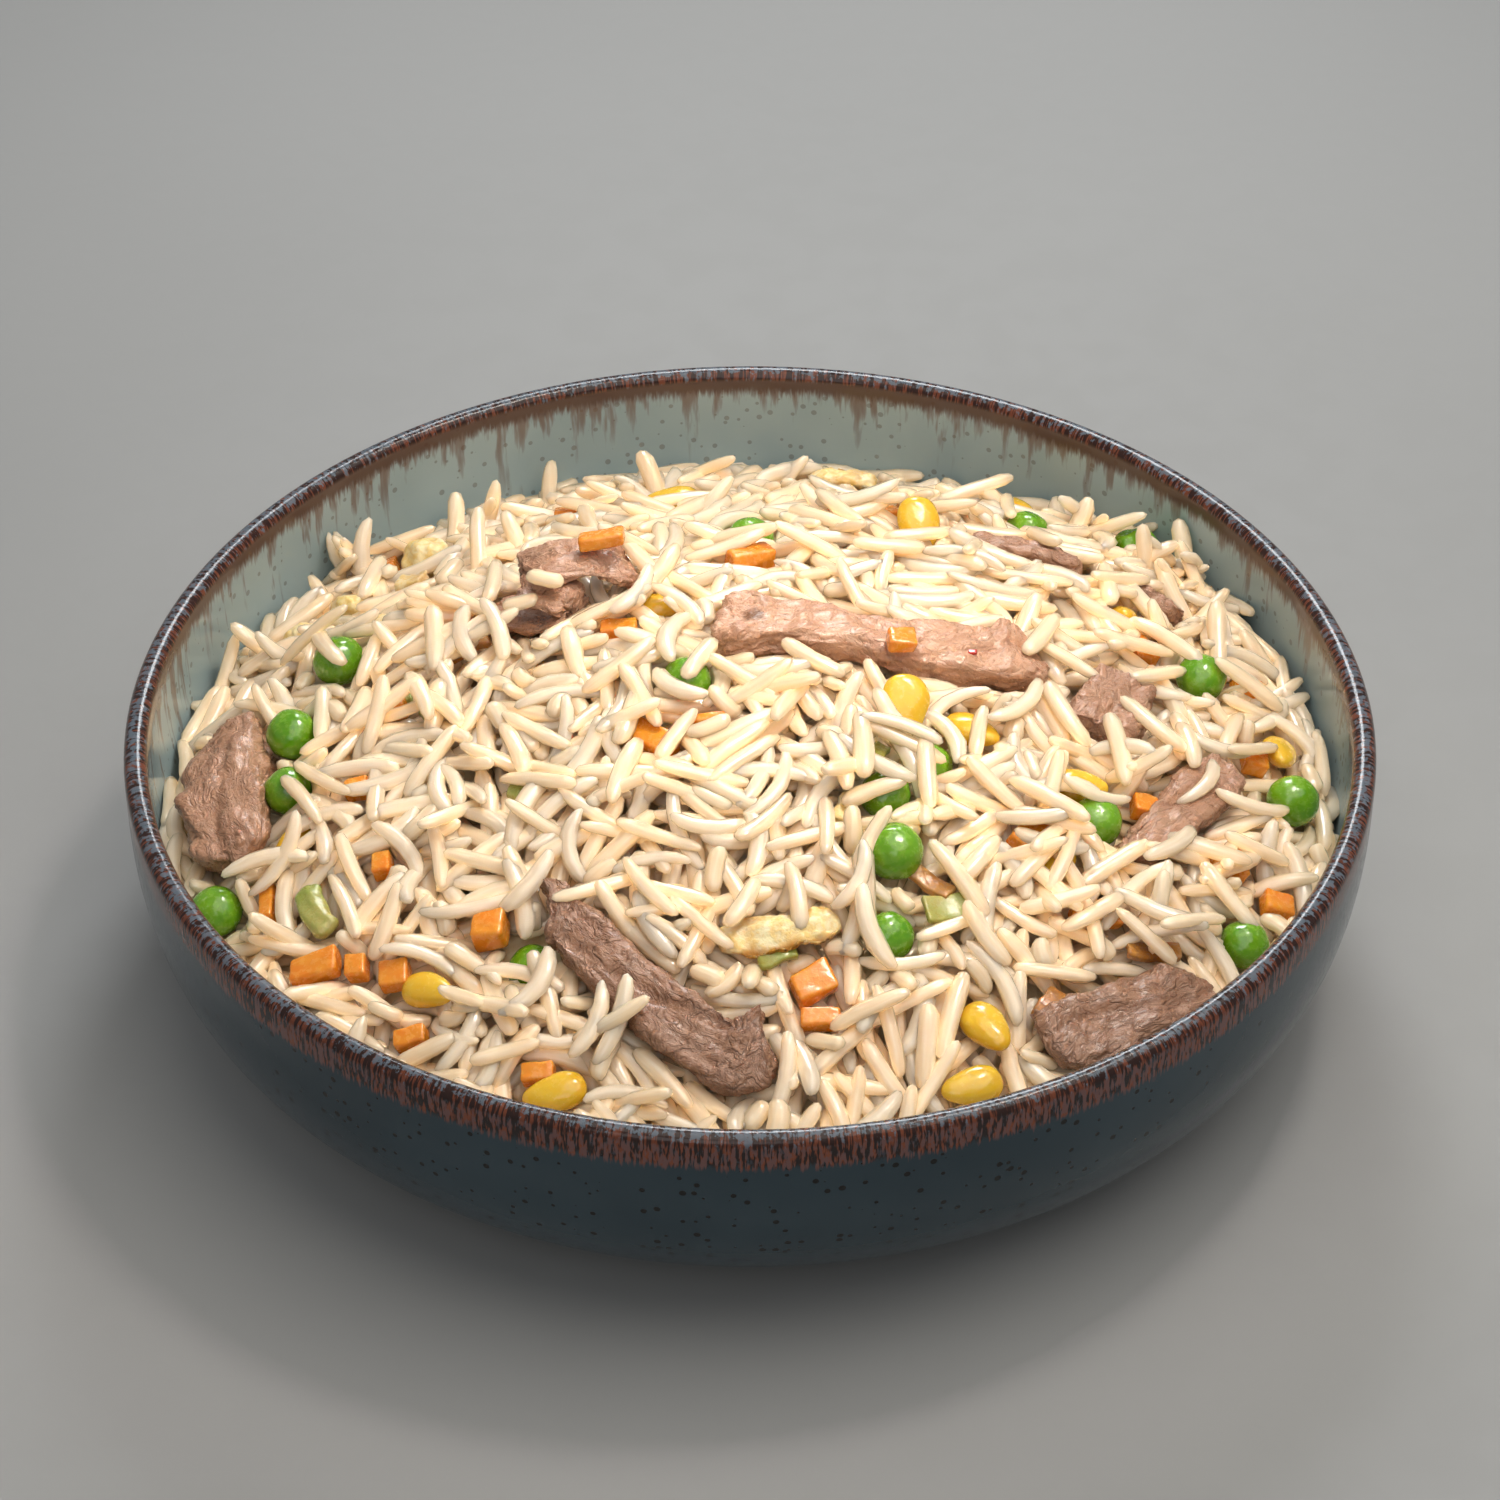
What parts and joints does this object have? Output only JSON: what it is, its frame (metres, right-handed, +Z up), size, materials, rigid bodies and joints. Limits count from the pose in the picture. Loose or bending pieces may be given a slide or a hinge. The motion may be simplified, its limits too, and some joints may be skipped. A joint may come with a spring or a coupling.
{
  "type": "plate of beef pilaf",
  "caption": "Round deep glazed coupe bowl heaped with long-grain rice, strips of beef, peas, sweetcorn, diced carrot and scraps of egg.",
  "frame": {"origin": "centre of the bowl's base, at the level it stands on", "axes": "+Z up, and -Y towards the diner, which is the side the reference picture shows"},
  "size_m": [0.2, 0.2, 0.0675],
  "materials": {
    "glaze": "gloss",
    "rice": "satin",
    "beef": "satin",
    "pea": "gloss",
    "sweetcorn": "gloss",
    "carrot": "satin",
    "egg": "satin",
    "leek": "satin"
  },
  "bodies": {
    "root": {"bowl": "glaze", "rice_heap": "rice", "beef_1": "beef", "beef_2": "beef", "beef_3": "beef", "beef_4": "beef", "beef_5": "beef", "beef_6": "beef", "beef_7": "beef", "beef_8": "beef", "beef_9": "beef", "pea_1": "pea", "pea_2": "pea", "pea_3": "pea", "pea_4": "pea", "pea_5": "pea", "pea_6": "pea", "pea_7": "pea", "pea_8": "pea", "pea_9": "pea", "pea_10": "pea", "pea_11": "pea", "pea_12": "pea", "pea_13": "pea", "pea_14": "pea", "pea_15": "pea", "pea_16": "pea", "pea_17": "pea", "corn_1": "sweetcorn", "corn_2": "sweetcorn", "corn_3": "sweetcorn", "corn_4": "sweetcorn", "corn_5": "sweetcorn", "corn_6": "sweetcorn", "corn_7": "sweetcorn", "corn_8": "sweetcorn", "corn_9": "sweetcorn", "corn_10": "sweetcorn", "corn_11": "sweetcorn", "corn_12": "sweetcorn", "corn_13": "sweetcorn", "corn_14": "sweetcorn", "corn_15": "sweetcorn", "carrot_1": "carrot", "carrot_2": "carrot", "carrot_3": "carrot", "carrot_4": "carrot", "carrot_5": "carrot", "carrot_6": "carrot", "carrot_7": "carrot", "carrot_8": "carrot", "carrot_9": "carrot", "carrot_10": "carrot", "carrot_11": "carrot", "egg_1": "egg", "egg_2": "egg", "egg_3": "egg", "omelette_1": "egg", "omelette_2": "egg", "leek_1": "leek"}
  },
  "joints": []
}
